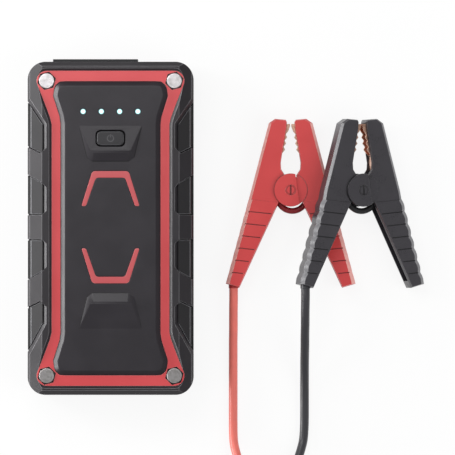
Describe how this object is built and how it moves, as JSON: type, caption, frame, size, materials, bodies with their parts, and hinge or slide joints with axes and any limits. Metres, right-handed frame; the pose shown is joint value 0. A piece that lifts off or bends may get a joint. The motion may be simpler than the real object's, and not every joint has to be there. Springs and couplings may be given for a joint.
{
  "type": "jump starter pack",
  "caption": "Flat rugged jump starter pack with a red frame, power button and covered ports, and a lead set with a red and a black spring clamp.",
  "frame": {"origin": "centre of the pack's flat back face, which lies on the table", "axes": "+Z out of the front panel, +Y towards the end with the ports, +X towards the clamps"},
  "size_m": [0.1982, 0.3034, 0.0352],
  "materials": {
    "casing": "fine moulded charcoal ABS",
    "panel": "fine satin charcoal ABS",
    "frame_red": "satin red moulded plastic",
    "grip_rubber": "matt moulded rubber",
    "screw_silver": "turned and satin polished",
    "accent_red": "satin red inlay",
    "light_window": "clear light guide, lit",
    "button": "matt rubber key",
    "switch_metal": "pressed steel",
    "led": "white diode",
    "circuit_board": "solder mask",
    "board_part": "epoxy packages",
    "cell_foil": "pouch foil",
    "foam": "closed-cell foam",
    "copper": "copper sheet, lightly tarnished",
    "socket_blue": "nylon housing",
    "contact_gold": "gold-plated contact",
    "port_steel": "nickel-plated shell",
    "bezel": "matt black",
    "cover_rubber": "soft matt rubber",
    "lens_clear": "clear polycarbonate lens",
    "reflector": "vacuum metallised",
    "clamp_red": "satin red polypropylene",
    "clamp_black": "satin black polypropylene",
    "spring_steel": "spring wire",
    "lead_red": "soft red insulation",
    "lead_black": "soft black insulation",
    "box_plastic": "textured black ABS",
    "box_lamp": "green light guide"
  },
  "bodies": {
    "pack": {"back_shell": "casing", "front_shell": "casing", "front_panel": "panel", "red_frame": "frame_red", "left_grips": "grip_rubber", "right_grips": "grip_rubber", "corner_screws": "screw_silver", "accent_stripes": "accent_red", "light_windows": "light_window", "button_switch": "switch_metal", "charge_lights": "led", "main_board": "circuit_board", "board_parts": "board_part", "battery_cells": "cell_foil", "cell_foam": "foam", "bus_bars": "copper", "output_socket": "socket_blue", "socket_contacts": "contact_gold", "usb_a_ports": "port_steel", "usb_c_port": "port_steel", "port_board": "circuit_board", "port_bezel": "bezel", "torch_lens": "lens_clear", "torch_reflector": "reflector", "torch_light": "led"},
    "button": {"power_button": "button"},
    "cover": {"port_cover": "cover_rubber"},
    "lead_set": {"box_base": "box_plastic", "box_lid": "box_plastic", "box_board": "circuit_board", "box_light": "box_lamp", "box_screws": "screw_silver", "box_glands": "lead_black", "plug_body": "socket_blue", "plug_contacts": "contact_gold", "red_left_grip": "clamp_red", "red_left_jaw": "copper", "red_pivot_pin": "clamp_red", "red_spring": "spring_steel", "red_bridge_wire": "lead_red", "red_core": "copper", "red_sleeve": "clamp_red", "red_cable": "lead_red", "black_left_grip": "clamp_black", "black_left_jaw": "copper", "black_pivot_pin": "clamp_black", "black_spring": "spring_steel", "black_bridge_wire": "lead_black", "black_core": "copper", "black_sleeve": "clamp_black", "black_cable": "lead_black"},
    "red_jaw": {"red_right_grip": "clamp_red", "red_right_jaw": "copper"},
    "black_jaw": {"black_right_grip": "clamp_black", "black_right_jaw": "copper"}
  },
  "joints": [
    {"name": "button_press", "type": "slide", "parent": "pack", "child": "button", "axis": [0, 0, -1], "range_m": [0, 0.0005], "stiffness_N_per_m": 800},
    {"name": "cover_hinge", "type": "hinge", "parent": "pack", "child": "cover", "pos_m": [-0.0076, 0.0817, 0.008], "axis": [-1, 0, 0], "range_deg": [0, 90]},
    {"name": "lead_slide", "type": "slide", "parent": "pack", "child": "lead_set", "axis": [1, 0, 0], "range_m": [0, 0.12]},
    {"name": "red_jaw_open", "type": "hinge", "parent": "lead_set", "child": "red_jaw", "pos_m": [0.09, 0.0192, 0.0067], "axis": [0, 0, -1], "range_deg": [0, 28], "stiffness_Nm_per_rad": 1.2, "springref_deg": -28.65, "deforming": ["red_spring", "red_bridge_wire"]},
    {"name": "black_jaw_open", "type": "hinge", "parent": "lead_set", "child": "black_jaw", "pos_m": [0.1246, 0.0191, 0.01432], "axis": [-0.2924, 0, -0.9563], "range_deg": [0, 28], "stiffness_Nm_per_rad": 1.2, "springref_deg": -28.65, "deforming": ["black_spring", "black_bridge_wire"]}
  ]
}
